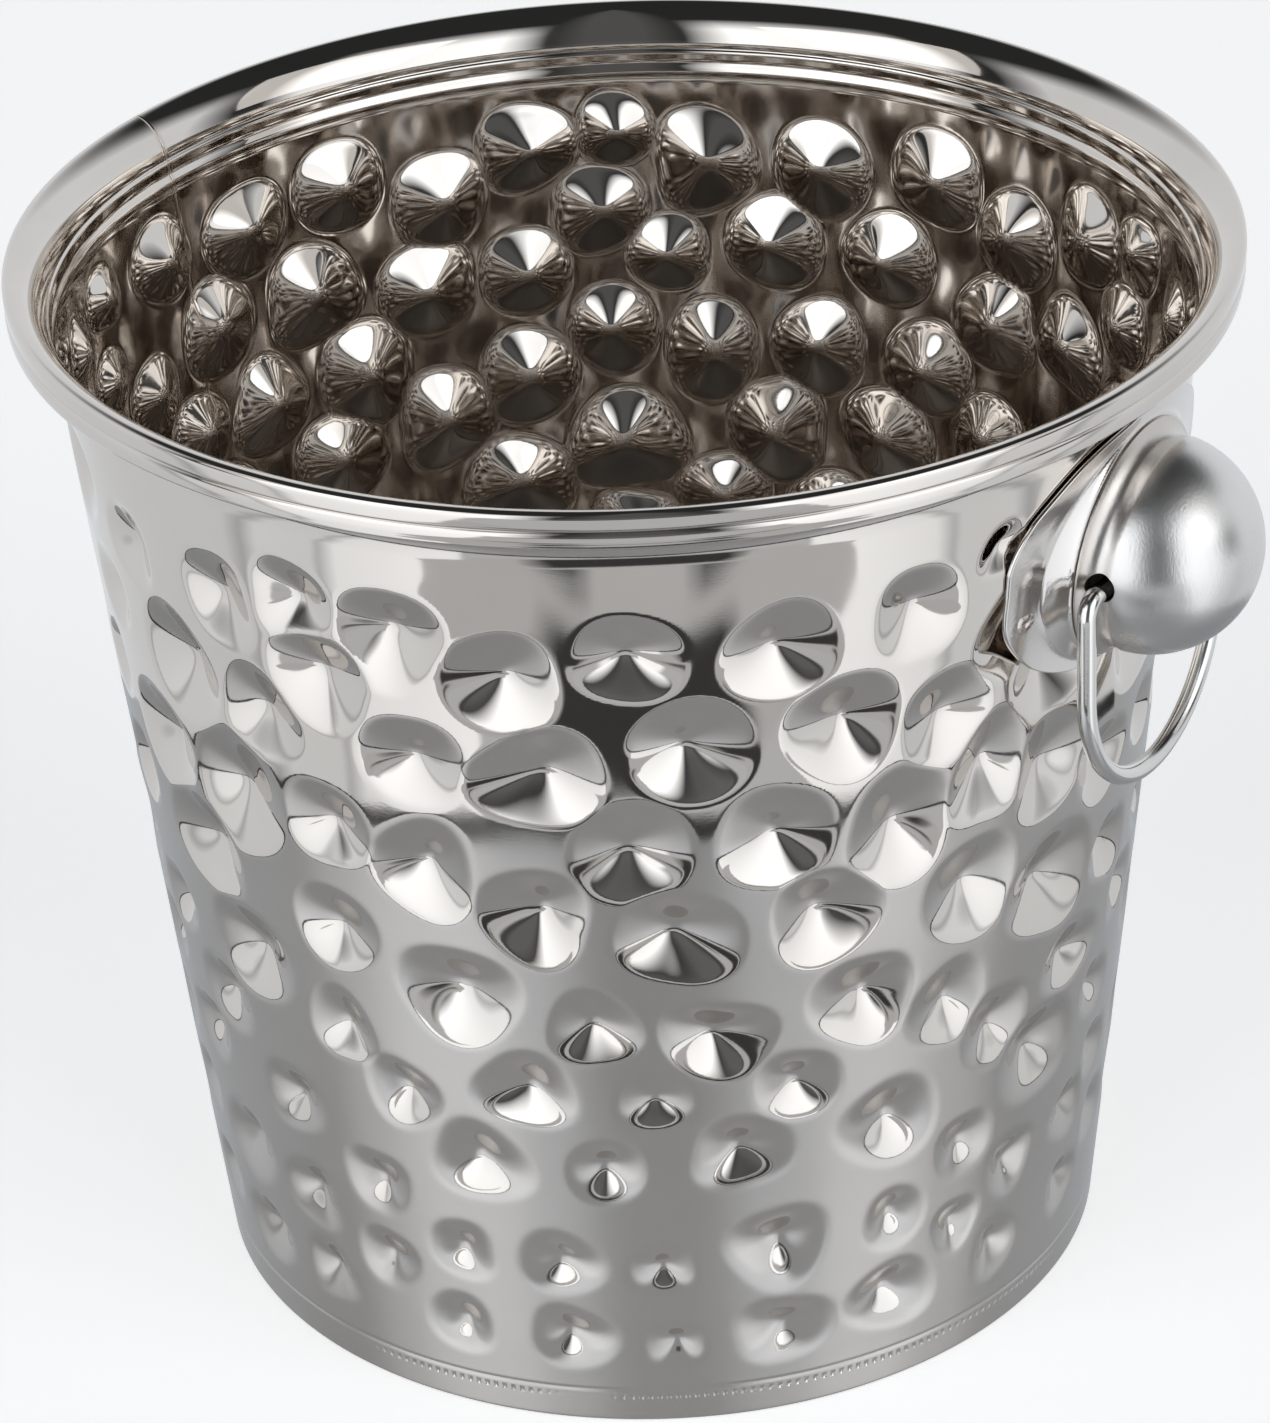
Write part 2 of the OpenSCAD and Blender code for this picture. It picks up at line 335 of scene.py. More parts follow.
MARKS_IN = [
    (-164.1, 173, 8.2, 11.5), (-177.3, 170.5, 10.5, 15), (-191.3, 167.5, 11, 16), (-162.5, 157.5, 8.5, 12),
    (-185, 152, 11, 17), (-171.9, 147.5, 9.5, 14), (-191, 132.5, 11.3, 17), (-179.3, 134, 9.5, 15),
    (-154.5, 170, 8, 12), (-204.4, 169.5, 10.5, 16), (-216.5, 162, 10.2, 17), (-226.9, 169.7, 10.3, 16),
    (-237, 172, 8.2, 13), (-199.4, 150, 11.5, 18), (-234.9, 156, 9.7, 15.5), (-214, 145, 11.5, 16),
    (-226, 145, 9.7, 15.5), (-205.1, 131.5, 11.2, 19), (-236, 132, 9.5, 17), (-225.4, 124, 10.5, 18),
    (-214.9, 118.5, 11, 18), (-200.5, 116.5, 11.5, 17), (-237, 109, 13.5, 18), (-223.5, 102.5, 12.5, 17),
    (-247, 165.5, 10.8, 18), (-260.7, 165.5, 10.3, 17.5), (-275.1, 168, 10.5, 16.5), (-286.7, 161, 10.8, 17.5),
    (-242.6, 147, 9, 13.5), (-255.2, 150, 10.7, 17), (-269.3, 150, 11, 17), (-284.4, 143, 11.5, 16.5),
    (-247.5, 127.5, 10.3, 18.5), (-260.7, 130, 11, 17.5), (-275.1, 130, 11, 17.5), (-255.6, 112, 11, 18.5),
    (-270, 114.5, 11, 17), (-249, 98, 10.5, 16), (-284.5, 119.5, 10.5, 17), (-298.7, 168, 10.3, 16.5),
    (-309, 171.5, 9.2, 13), (-297, 145.5, 11, 16), (-307, 156.5, 9.7, 14), (-322, 168, 9.5, 13),
    (-144, 160, 9, 14),
]
rs = np.random.RandomState(20417)
marks = [[a, z, w, h] for a, z, w, h in MARKS_OUT + MARKS_IN]


def mark_gap(a, z, w, h, others):
    """Distance to every other mark, in units of the two marks' mean size."""
    o = np.asarray(others)
    da = (o[:, 0] - a + 180) % 360 - 180
    sx = np.radians(da) * (wall_r((o[:, 1] + z) / 2))
    sy = o[:, 1] - z
    mw = (np.radians(o[:, 2]) * wall_r(o[:, 1]) + np.radians(w) * wall_r(z)) / 2
    mh = (o[:, 3] + h) / 2
    return np.sqrt((sx / mw) ** 2 + (sy / mh) ** 2)


# the rest of the wall is filled with marks of the same kind, packed the same way
for step in range(400):
    best = None
    for k in range(500):
        a = rs.uniform(-360, 0)
        z = rs.uniform(16.5, 171.0)
        size = 13.2 + 5.2 * min(z / 130.0, 1.0) + rs.uniform(-2.2, 2.2)
        w = math.degrees(size * rs.uniform(0.94, 1.1) / wall_r(z))
        h = size * rs.uniform(0.9, 1.06)
        if z + h / 2 > 177 or z - h / 2 < 9.5:
            continue
        g = np.sort(mark_gap(a, z, w, h, marks))
        if g[0] < 1.13:
            continue
        score = g[0] + g[1] + 0.7 * g[2]
        if best is None or score < best[0]:
            best = (score, a, z, w, h)
    if best is None:
        break
    marks.append(list(best[1:]))
marks = np.array(marks)

NC = 1024
Z0, Z1 = 8.2, 180.6
NR = 300
za = np.linspace(Z0, Z1, NR)
aa = np.linspace(0, 360, NC, endpoint=False)


def dent_map(zrow, arow):
    """How far the wall is driven in at each place of the lattice, in mm."""
    D = np.zeros((len(zrow), len(arow)))
    dr = np.random.RandomState(7711)
    for i, (a, z, w, h) in enumerate(marks):
        rz = wall_r(z)
        hw, hh = math.radians(w) * rz / 2, h / 2
        ratio = np.interp(z, (15, 60, 85, 105, 175), (0.215, 0.215, 0.215, 0.215, 0.215))
        depth = ratio * (hw + hh) * dr.uniform(0.92, 1.08)
        n = dr.uniform(1.9, 2.5)
        rot = math.radians(dr.uniform(-18, 18))
        e3, p3 = dr.uniform(0.0, 0.09), dr.uniform(0, 2 * math.pi)
        e2, p2 = dr.uniform(0.0, 0.05), dr.uniform(0, 2 * math.pi)
        ox, oy = dr.uniform(-0.10, 0.10), dr.uniform(-0.06, 0.10)
        tip = dr.uniform(0.16, 0.26)
        sharp = np.interp(z, (15, 60, 90, 112, 175), (1.55, 1.45, 1.22, 1.08, 1.08)) + dr.uniform(-0.05, 0.06)
        r_idx = np.where(np.abs(zrow - z) < hh * 1.5 + 2)[0]
        da = (arow - a + 180) % 360 - 180
        c_idx = np.where(np.abs(np.radians(da) * rz) < hw * 1.5 + 2)[0]
        if not len(r_idx) or not len(c_idx):
            continue
        X = np.radians(da[c_idx])[None, :] * wall_r(zrow[r_idx])[:, None]
        Y = (zrow[r_idx] - z)[:, None] * np.ones((1, len(c_idx)))
        u = (X * math.cos(rot) + Y * math.sin(rot)) / hw
        v = (-X * math.sin(rot) + Y * math.cos(rot)) / hh
        rho_rim = (np.abs(u) ** n + np.abs(v) ** n) ** (1 / n)
        th = np.arctan2(v, u)
        rho_rim = rho_rim * (1 + e3 * np.cos(3 * th - p3) + e2 * np.cos(2 * th - p2))
        # the tip sits a little off the middle of the outline
        k = np.clip(1 - rho_rim, 0, 1)
        u2, v2 = u - ox * k, v - oy * k
        rho = (np.abs(u2) ** n + np.abs(v2) ** n) ** (1 / n)
        rho = rho * (1 + e3 * np.cos(3 * th - p3) + e2 * np.cos(2 * th - p2))
        c = np.sqrt(rho ** 2 + tip ** 2) - tip * 0.5
        x = 1 - c
        f = 0.5 * (x + np.sqrt(x * x + 0.05 ** 2))
        f = np.maximum(f - 0.012, 0) ** sharp
        d = depth * f
        blk = D[np.ix_(r_idx, c_idx)]
        hi, lo = np.maximum(blk, d), np.minimum(blk, d)
        D[np.ix_(r_idx, c_idx)] = hi + 0.25 * np.maximum(0, 0.35 - (hi - lo)) ** 2 / 0.35 * (lo > 0.02)
    return D


def blur(D, sig_r, sig_c):
    """Gaussian blur; columns wrap round the bucket, rows repeat at the ends."""
    def kern(s):
        n = int(math.ceil(3 * s))
        k = np.exp(-0.5 * (np.arange(-n, n + 1) / s) ** 2)
        return k / k.sum(), n
    k, n = kern(sig_c)
    P = np.concatenate([D[:, -n:], D, D[:, :n]], 1)
    D = sum(k[i] * P[:, i:i + D.shape[1]] for i in range(len(k)))
    k, n = kern(sig_r)
    P = np.concatenate([np.repeat(D[:1], n, 0), D, np.repeat(D[-1:], n, 0)], 0)
    return sum(k[i] * P[i:i + D.shape[0]] for i in range(len(k)))


DR, DC = za[1] - za[0], 2 * math.pi * 92 / NC
dent = dent_map(za, aa)
dent = blur(dent, 0.34 / DR, 0.34 / DC)
web = blur(dent, 6.0 / DR, 6.0 / DC)
dent = dent - 0.07 * web
ends = np.clip((za - Z0) / 5.0, 0, 1) * np.clip((Z1 - za) / 5.0, 0, 1)
ends = ends * ends * (3 - 2 * ends)
dent = dent * ends[:, None]
wob = np.random.RandomState(31)
wave = np.zeros_like(dent)
for k in range(14):
    fa, fz = wob.randint(3, 16), wob.uniform(0.01, 0.09)
    wave += wob.uniform(0.3, 1.0) / (1 + 0.15 * fa) * np.sin(np.radians(aa)[None, :] * fa + wob.uniform(0, 6.28) + (za * fz)[:, None])
dent = dent + 0.014 * wave * ends[:, None]


def superell(cx, cy, rx, ry, n, t0, t1, count):
    out = []
    for i in range(count + 1):
        t = math.radians(t0 + (t1 - t0) * i / count)
        c, s = math.cos(t), math.sin(t)
        out.append((cx + rx * math.copysign(abs(c) ** (2 / n), c), cy + ry * math.copysign(abs(s) ** (2 / n), s)))
    return out


def spline(points, step=0.35):
    """Catmull-Rom through (r, z) points, evenly stepped."""
    P = np.array(points, float)
    P = np.vstack([2 * P[0] - P[1], P, 2 * P[-1] - P[-2]])
    out = []
    for i in range(1, len(P) - 2):
        L = np.linalg.norm(P[i + 1] - P[i])
        n = max(1, int(round(L / step)))
        for j in range(n):
            t = j / n
            a, b, c, d = P[i - 1], P[i], P[i + 1], P[i + 2]
            out.append(0.5 * ((2 * b) + (c - a) * t + (2 * a - 5 * b + 4 * c - d) * t * t + (3 * b - a - 3 * c + d) * t ** 3))
    out.append(P[-2])
    return [tuple(p) for p in out]


# bottom edge and band, outside
prof = []
prof += [(wall_r(0) - 0.25, 0.0), (wall_r(0.25) - 0.02, 0.22), (wall_r(0.6), 0.6)]
prof += [(wall_r(z), z) for z in np.arange(1.2, 6.3, 0.5)]
prof += [(wall_r(6.5), 6.5), (wall_r(6.75) - 0.08, 6.75), (wall_r(7.0) - 0.17, 7.0), (wall_r(7.25) - 0.08, 7.25), (wall_r(7.5), 7.5), (wall_r(7.9), 7.9)]
n_low = len(prof)
# rim, outside: flare under the hem, the hem, the fold line, the lip
rim_out = spline([(wall_r(181.2), 181.2), (100.55, 183.0), (101.1, 184.8), (102.2, 186.6), (104.0, 188.4), (106.3, 190.1)], 0.5)
rim_out += [(106.62, 190.6), (106.70, 190.0), (106.74, 188.6), (106.82, 188.12), (107.05, 187.92)]
rim_out += [(107.35, 187.90), (107.58, 188.02), (107.70, 188.30)]
rim_out += spline([(107.74, 188.7), (107.86, 189.6), (107.80, 190.55)], 0.35)
rim_out += [(107.66, 190.82), (107.50, 190.98), (107.62, 191.16), (107.80, 191.34)]
rim_out += spline([(107.86, 191.7), (107.92, 192.6), (107.95, 193.35)], 0.35)
rim_out += [(107.93, 193.66), (107.84, 193.95), (107.62, 194.2), (107.36, 194.38), (107.08, 194.48), (106.8, 194.5)]
# rim, inside: the lip turns in and down to a crease and a small bead
rim_in = superell(106.8, 187.0, 6.0, 7.5, 1.72, 92, 180, 34)
rim_in += [(100.72, 186.85), (100.48, 186.7), (100.36, 186.45), (100.33, 186.0), (100.31, 185.2), (100.26, 184.5)]
rim_in += spline([(100.16, 184.1), (99.86, 183.6), (99.62, 183.05), (99.55, 182.5), (99.60, 181.9), (wall_r(181.2) - T, 181.2)], 0.3)

# extra columns beside the upright weld, so that its line can be thin
extra = SEAM_A + np.array([-0.55, -0.42, -0.31, -0.22, -0.15, -0.09, -0.04, 0.0, 0.04, 0.09, 0.15, 0.22, 0.31, 0.42, 0.55])
cols = np.sort(np.concatenate([aa, extra]))
pos = cols / (aa[1] - aa[0])
i0 = np.floor(pos).astype(int)
fr = pos - i0
dent = dent[:, i0 % NC] * (1 - fr) + dent[:, (i0 + 1) % NC] * fr
aa = cols
NC = len(aa)

rows_r, rows_z, rows_d = [], [], []
for r, z in prof:
    rows_r.append(r); rows_z.append(z); rows_d.append(None)
for i, z in enumerate(za):
    rows_r.append(wall_r(z)); rows_z.append(z); rows_d.append(i)
for r, z in rim_out + rim_in:
    rows_r.append(r); rows_z.append(z); rows_d.append(None)
for i in range(len(za) - 1, -1, -1):
    rows_r.append(wall_r(za[i]) - T); rows_z.append(za[i]); rows_d.append(i)
for z in list(np.arange(7.8, 0.6, -0.8)) + [0.25]:
    rows_r.append(wall_r(z) - T); rows_z.append(z); rows_d.append(None)
rows_r.append(wall_r(0) - T + 0.2); rows_z.append(0.0); rows_d.append(None)
rows_r, rows_z = np.array(rows_r), np.array(rows_z)

R = np.repeat(rows_r[:, None], NC, 1)
Zm = np.repeat(rows_z[:, None], NC, 1)
nx, nz = math.cos(TILT), -math.sin(TILT)
for j, i in enumerate(rows_d):
    if i is not None:
        R[j] -= dent[i] * nx
        Zm[j] -= dent[i] * nz
# the upright weld: a hair line down the wall and across the rim
da = (aa - SEAM_A + 180) % 360 - 180
groove = 0.10 * np.exp(-0.5 * (da * math.pi / 180 * 100 / 0.13) ** 2)
lift = 0.03 * (np.clip(da * math.pi / 180 * 100 / 0.6, -1, 1))* np.exp(-(da / 2.2) ** 2)
up = rows_z > 8
inner_side = np.zeros(len(rows_r), bool)
inner_side[n_low + len(za) + len(rim_out):] = True
R[up] += np.where(inner_side[up, None], 1, -1) * (groove - lift)[None, :]
A = np.radians(aa)[None, :]
V = np.stack([R * np.cos(A), R * np.sin(A), Zm], -1)
wall = make_mesh("bucket_wall_hammered", V.reshape(-1, 3) * MM, grid_quads(len(rows_r), NC, close_rows=True))
smooth(wall, 50)
wall.data.materials.append(MAT_WALL)
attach(wall, "bucket"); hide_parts("bucket_wall")

# ------------------------------------------------------------------ base pan
lift_z = 7.4
pan = [(0.0001, lift_z - T), (0.0001, lift_z)]
pan[0:0] = []
floor_r = np.array([6, 14, 24, 34, 44, 54, 62, 68, 72, 75.0, 77.4, 79.0])


def pan_top(r):
    # the floor is pressed with one shallow step and dishes up a very little
    s = 1 / (1 + math.exp(-(r - 70) / 0.9))
    return lift_z - 0.55 * s * (1 - 1 / (1 + math.exp(-(r - 78.2) / 0.35)))


floor_r = np.concatenate([[0.0001], np.linspace(4, 64, 16), np.linspace(66, 79.4, 40)])
top_side = [(r, pan_top(r)) for r in floor_r]
edge = [(80.0, lift_z - 0.12), (80.5, lift_z - 0.42), (80.9, lift_z - 0.85), (wall_r(6.0) - T - 0.02, 6.0)]
down = [(wall_r(z) - T - 0.02, z) for z in (5.0, 4.0, 3.0, 2.0, 1.0, 0.3)] + [(wall_r(0) - T - 0.12, 0.02), (wall_r(0) - T - 0.68, 0.02), (wall_r(0) - 2 * T - 0.02, 0.3)]
upi = [(wall_r(z) - 2 * T - 0.02, z) for z in (1.0, 2.0, 3.0, 4.0, 5.0)] + [(80.05, 5.9), (79.7, 6.3), (79.2, lift_z - T - 0.02)]
under = [(r, pan_top(r) - T) for r in floor_r[::-1] if r < 78.9]
pan_prof = top_side + edge + down + upi + under
pan_ob = lathe("base_pan_pressed", [(p[0], p[1]) for p in pan_prof][::-1], 256)
clean(pan_ob, 1e-6)
smooth(pan_ob, 40)
pan_ob.data.materials.append(MAT_BASE)
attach(pan_ob, "bucket"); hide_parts("base_pan")

# ------------------------------------------------------------------ handles
# handle frame: local Z runs outward, square to the wall; local X points down the wall
HF = Matrix.Translation(Vector((KX, 0, KZ)) * MM) @ Matrix.Rotation(math.pi / 2 + TILT, 4, "Y")
TURN = Matrix.Rotation(math.pi, 4, "Z")


def knob_profile():
    pts = []
    ri = BALL_R - BALL_T
    for i in range(0, 49):
        a = math.radians(90 - i * (90 - 5.0) / 48)
        pts.append((max(ri * math.cos(a), 0.0001), ri * math.sin(a)))
    pts += spline([(17.98, 0.6), (17.86, -0.8), (18.06, -2.0), (18.75, -3.0), (19.7, -3.86)], 0.3)
    pts += [(20.3, -3.98), (20.9, -3.94), (21.1, -3.75)]
    pts += spline([(21.02, -3.45), (20.2, -2.95), (19.35, -2.1), (18.86, -1.1), (18.74, -0.1), (18.84, 0.8)], 0.25)
    for i in range(0, 57):
        a = math.radians(4.2 + i * (90 - 4.2) / 56)
        pts.append((max(BALL_R * math.cos(a), 0.0001), BALL_R * math.sin(a)))
    return pts


def make_knob(side):
    ob = lathe("knob_shell_" + side, knob_profile(), 224, HF)
    clean(ob, 2e-6)
    me = bpy.data.meshes.new("cutter")
    import bmesh
    bm = bmesh.new()
    bmesh.ops.create_cone(bm, cap_ends=True, segments=56, radius1=HOLE_R * MM, radius2=HOLE_R * MM, depth=0.06)
    bm.transform(Matrix.Translation(Vector((KX, 0, KZ)) * MM) @ Matrix.Rotation(math.pi / 2, 4, "X"))
    bm.to_mesh(me)
    bm.free()
    cut = bpy.data.objects.new("cutter", me)
    bpy.context.scene.collection.objects.link(cut)
    mod = ob.modifiers.new("holes", "BOOLEAN")
    mod.operation = "DIFFERENCE"
    mod.solver = "EXACT"
    mod.object = cut
    dg = bpy.context.evaluated_depsgraph_get()
    new = bpy.data.meshes.new_from_object(ob.evaluated_get(dg))
    ob.modifiers.clear()
    old = ob.data
    ob.data = new
    new.name = ob.name
    bpy.data.meshes.remove(old)
    bpy.data.objects.remove(cut)
    if side == "left":
        ob.data.transform(TURN)
    smooth(ob, 38)
    ob.data.materials.append(MAT_KNOB)
    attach(ob, "bucket"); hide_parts("knob_" + side)
    return ob


def plate_edge(psi):
    n = 2.3
    c, s = math.cos(psi), math.sin(psi)
    k = (abs(c) ** n + abs(s) ** n) ** (-1 / n)
    wav = 1 + 0.012 * math.sin(5 * psi + 0.7) + 0.009 * math.sin(9 * psi + 2.1) - 0.006
    return 33.8 * k * c * min(wav, 1.0), 22.3 * k * s * min(wav, 1.0)


def make_plate(side):
    NP, NT_ = 288, 84
    ridge_r = BALL_R + 1.6
    V = []
    zc = KZ + 1.7
    ts = np.linspace(0.02, 1, NT_) ** 0.8
    for layer in (1, 0):
        for t in (ts if layer else ts[::-1]):
            for i in range(NP):
                psi = 2 * math.pi * i / NP
                ey, ez = plate_edge(psi)
                y, dz = ey * t, ez * t
                z = zc + dz
                r0 = wall_r(z)
                # point on the wall's surface, straight behind (y, z)
                x = math.sqrt(max(r0 * r0 - y * y, 1))
                # distance in front of the ball centre, along the handle's axis
                def axial(px, pz):
                    return (px - KX) * math.cos(TILT) - (pz - KZ) * math.sin(TILT)
                lift = 0.06 + (T if layer else 0.0)
                # edges stand off the wall a little
                e = max(0.0, (t - 0.86) / 0.14)
                lift += 0.35 * e * e * (0.6 + 0.4 * math.sin(3 * psi + 1.0))
                base_ax = axial(x, z) + lift
                rho = math.hypot(y, (z - KZ) * math.cos(TILT) + (x - KX) * math.sin(TILT))
                ridge_top = -4.02 - (0 if layer else T)
                d = rho - ridge_r
                if d <= 0.9:
                    want = ridge_top - 0.5 * max(0.0, -d - 1.2)
                else:
                    want = ridge_top - (d - 0.9) * 0.78 - 0.35 * (1 - math.exp(-(d - 0.9) / 0.7))
                k = 0.55
                hi = 0.5 * (base_ax + want + math.sqrt((base_ax - want) ** 2 + k * k))
                if hi > max(base_ax, want) + 0.2:
                    hi = max(base_ax, want) + 0.2
                push = hi - base_ax
                V.append((x + (lift + push) * math.cos(TILT), y, z - (lift + push) * math.sin(TILT)))
    V = np.array(V)
    n = 2 * NT_
    quads = list(grid_quads(n, NP))
    V2 = np.vstack([V, V[:NP].mean(0), V[(n - 1) * NP:].mean(0)])
    ci, co_ = n * NP, n * NP + 1
    tris = [(ci, (i + 1) % NP, i) for i in range(NP)]
    tris += [(co_, (n - 1) * NP + i, (n - 1) * NP + (i + 1) % NP) for i in range(NP)]
    ob = make_mesh("seat_plate_pressed_" + side, V2 * MM, quads, tris)
    clean(ob, 1e-7)
    mod = ob.modifiers.new("edge", "BEVEL")
    mod.width = 0.00022
    mod.segments = 3
    mod.limit_method = "ANGLE"
    mod.angle_limit = math.radians(50)
    dg = bpy.context.evaluated_depsgraph_get()
    new = bpy.data.meshes.new_from_object(ob.evaluated_get(dg))
    ob.modifiers.clear()
    old = ob.data
    ob.data = new
    bpy.data.meshes.remove(old)
    if side == "left":
        ob.data.transform(TURN)
    smooth(ob, 55)
    ob.data.materials.append(MAT_PLATE)
    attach(ob, "bucket"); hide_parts("seat_plate_" + side)
    return ob


def make_ring(side):
    path = []
    for y in np.arange(-PIN_IN, -(RING_R - BEND_R), -0.7):
        path.append((0, y, 0))
    for i in range(0, 13):
        a = math.radians(90 * i / 12)
        path.append((0, -(RING_R - BEND_R) - BEND_R * math.sin(a), -BEND_R + BEND_R * math.cos(a)))
    for z in np.arange(-BEND_R - 1, -RING_DROP + 0.5, -1.0):
        path.append((0, -RING_R, z))
    for i in range(0, 121):
        a = math.radians(180 + 180 * i / 120)
        path.append((0, RING_R * math.cos(a), -RING_DROP + RING_R * math.sin(a)))
    half = [p for p in path]
    mirror = [(p[0], -p[1], p[2]) for p in half if p[1] < -0.01 and p[2] > -RING_DROP + 0.01]
    path = half + mirror[::-1]
    P = np.array(path)
    # drop repeated points
    keep = [0]
    for i in range(1, len(P)):
        if np.linalg.norm(P[i] - P[keep[-1]]) > 0.05:
            keep.append(i)
    P = P[keep]
    tan = np.gradient(P, axis=0)
    tan /= np.linalg.norm(tan, axis=1)[:, None]
    bx = np.array([1.0, 0, 0])
    SEG = 32
    th = np.linspace(0, 2 * math.pi, SEG, endpoint=False)
    rows = []
    w = WIRE / 2

    def ringrow(c, t, rad):
        n = np.cross(t, bx)
        n /= np.linalg.norm(n)
        return c + rad * (np.cos(th)[:, None] * bx + np.sin(th)[:, None] * n)
    rows.append(ringrow(P[0] + tan[0] * 0.0, tan[0], w - 0.35))
    rows.append(ringrow(P[0] + tan[0] * 0.12, tan[0], w - 0.1))
    rows.append(ringrow(P[0] + tan[0] * 0.4, tan[0], w))
    for c, t in zip(P[1:-1], tan[1:-1]):
        rows.append(ringrow(c, t, w))
    rows.append(ringrow(P[-1] - tan[-1] * 0.4, tan[-1], w))
    rows.append(ringrow(P[-1] - tan[-1] * 0.12, tan[-1], w - 0.1))
    rows.append(ringrow(P[-1], tan[-1], w - 0.35))
    V = np.concatenate(rows)
    n = len(rows)
    V = np.vstack([V, P[0], P[-1]])
    tris = [(n * SEG, (i + 1) % SEG, i) for i in range(SEG)]
    tris += [(n * SEG + 1, (n - 1) * SEG + i, (n - 1) * SEG + (i + 1) % SEG) for i in range(SEG)]
    V = V + np.array([KX, 0, KZ - SAG])
    ob = make_mesh("pull_ring_wire_" + side, V * MM, grid_quads(n, SEG), tris)
    clean(ob, 1e-7)
    if side == "left":
        ob.data.transform(TURN)
    smooth(ob, 50)
    ob.data.materials.append(MAT_RING)
    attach(ob, "ring_" + side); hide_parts("pull_ring_" + side)
    return ob


for side in ("right", "left"):
    make_knob(side)
    make_plate(side)
    make_ring(side)

# ------------------------------------------------------------------ stage, light, camera
CAM_AZ = 32.5


def stage_sheet(name, verts, lo, hi, scale, glow=0.0, polys=None):
    """A flat stage piece lying on the table, with a faint unevenness in its colour."""
    m, nt, b = new_mat(name)
    g = NT(nt)
    g.link(g.ramp(g.noise(g.obj(), scale, 2.0), [(0.3, lo), (0.7, hi)]), b.inputs["Base Color"])
    b.inputs["Roughness"].default_value = 0.9
    b.inputs["Specular IOR Level"].default_value = 0.0
    if glow:
        b.inputs["Emission Color"].default_value = (1, 1, 1, 1)
        b.inputs["Emission Strength"].default_value = glow
    ob = make_mesh(name, verts, polys=polys or [list(range(len(verts)))])
    ob.data.transform(Matrix.Rotation(math.radians(CAM_AZ), 4, "Z"))
    ob.data.materials.append(m)
    return ob


def seen_in_metal_only(ob):
    ob.visible_camera = False
    ob.visible_diffuse = False
    ob.visible_shadow = False
    ob.visible_transmission = False


# the pale floor, lit from below as on a shooting table
S = 3.0
floor = stage_sheet("studio_floor", [(-S, -S, -5e-5), (S, -S, -5e-5), (S, S, -5e-5), (-S, S, -5e-5)],
                    (0.89, 0.89, 0.89), (0.91, 0.91, 0.91), 3.0, FLOOR_GLOW)
floor.visible_glossy = False
# what polished metal sees below it: a round white turntable and the dark gap in front of it, both given a painted glow
ring = [math.radians(i * 360 / 96) for i in range(96)]
table = stage_sheet("turntable", [(0.24 * math.cos(t), 0.24 * math.sin(t), -4e-5) for t in ring],
                    TABLE_LO, TABLE_HI, 6.0)
seen_in_metal_only(table)
b = [n for n in table.active_material.node_tree.nodes if n.type == "BSDF_PRINCIPLED"][0]
b.inputs["Metallic"].default_value = 0.55
b.inputs["Roughness"].default_value = 0.26
# painted light: the turntable glows a little, so that it shows brighter in the metal
b.inputs["Emission Color"].default_value = (0.95, 0.985, 1.03, 1)
b.inputs["Emission Strength"].default_value = 0.17
gap = stage_sheet("table_gap", [(-0.20, -0.36, -3e-5), (0.20, -0.36, -3e-5), (0.20, -0.243, -3e-5), (-0.20, -0.243, -3e-5)],
                  (0.001, 0.001, 0.001), (0.002, 0.002, 0.002), 9.0)
seen_in_metal_only(gap)
nt = gap.active_material.node_tree
b = [n for n in nt.nodes if n.type == "BSDF_PRINCIPLED"][0]
g = NT(nt)
co = g.obj()
ca, sa = math.cos(math.radians(CAM_AZ)), math.sin(math.radians(CAM_AZ))
gu = g.math("ABSOLUTE", g.math("ADD", g.math("MULTIPLY", g.sep(co)[0], ca), g.math("MULTIPLY", g.sep(co)[1], sa)))
gv = g.math("SUBTRACT", g.math("MULTIPLY", g.sep(co)[1], ca), g.math("MULTIPLY", g.sep(co)[0], sa))
gu = g.math("ADD", gu, g.math("MULTIPLY", g.math("SUBTRACT", g.noise(co, 22.0, 2.0), 0.5), 0.03))


def span(x, a0, a1, b1, b0):
    return g.math("MULTIPLY", g.rng(x, 0.0, 1.0, a0, a1), g.rng(x, 1.0, 0.0, b1, b0))


core = g.math("MULTIPLY", g.rng(gu, 1.0, 0.0, 0.072, 0.098), span(gv, -0.301, -0.293, -0.252, -0.245))
spots = g.math("MULTIPLY", span(gu, 0.045, 0.065, 0.120, 0.165), span(gv, -0.336, -0.322, -0.312, -0.304))
dark = g.math("MAXIMUM", core, g.math("MULTIPLY", spots, 0.85))
# painted light: the sheet glows, except over a dark core in front of the camera and a row of dark spots
g.link(g.rng(dark, 0.60, 0.05), b.inputs["Emission Strength"])
b.inputs["Emission Color"].default_value = (0.955, 0.985, 1.015, 1)

rim_v = [(0.2405 * math.cos(t), 0.2405 * math.sin(t), -2e-5) for t in ring] + [(0.234 * math.cos(t), 0.234 * math.sin(t), -2e-5) for t in ring]
n = len(ring)
table_edge = stage_sheet("turntable_edge", rim_v, (0.05, 0.05, 0.05), (0.09, 0.09, 0.09), 9.0,
                         polys=[(i, (i + 1) % n, n + (i + 1) % n, n + i) for i in range(n) if math.sin(ring[i]) < 0.30])
seen_in_metal_only(table_edge)

cdir = Vector((math.cos(math.radians(-90 + CAM_AZ)), math.sin(math.radians(-90 + CAM_AZ)), 0))

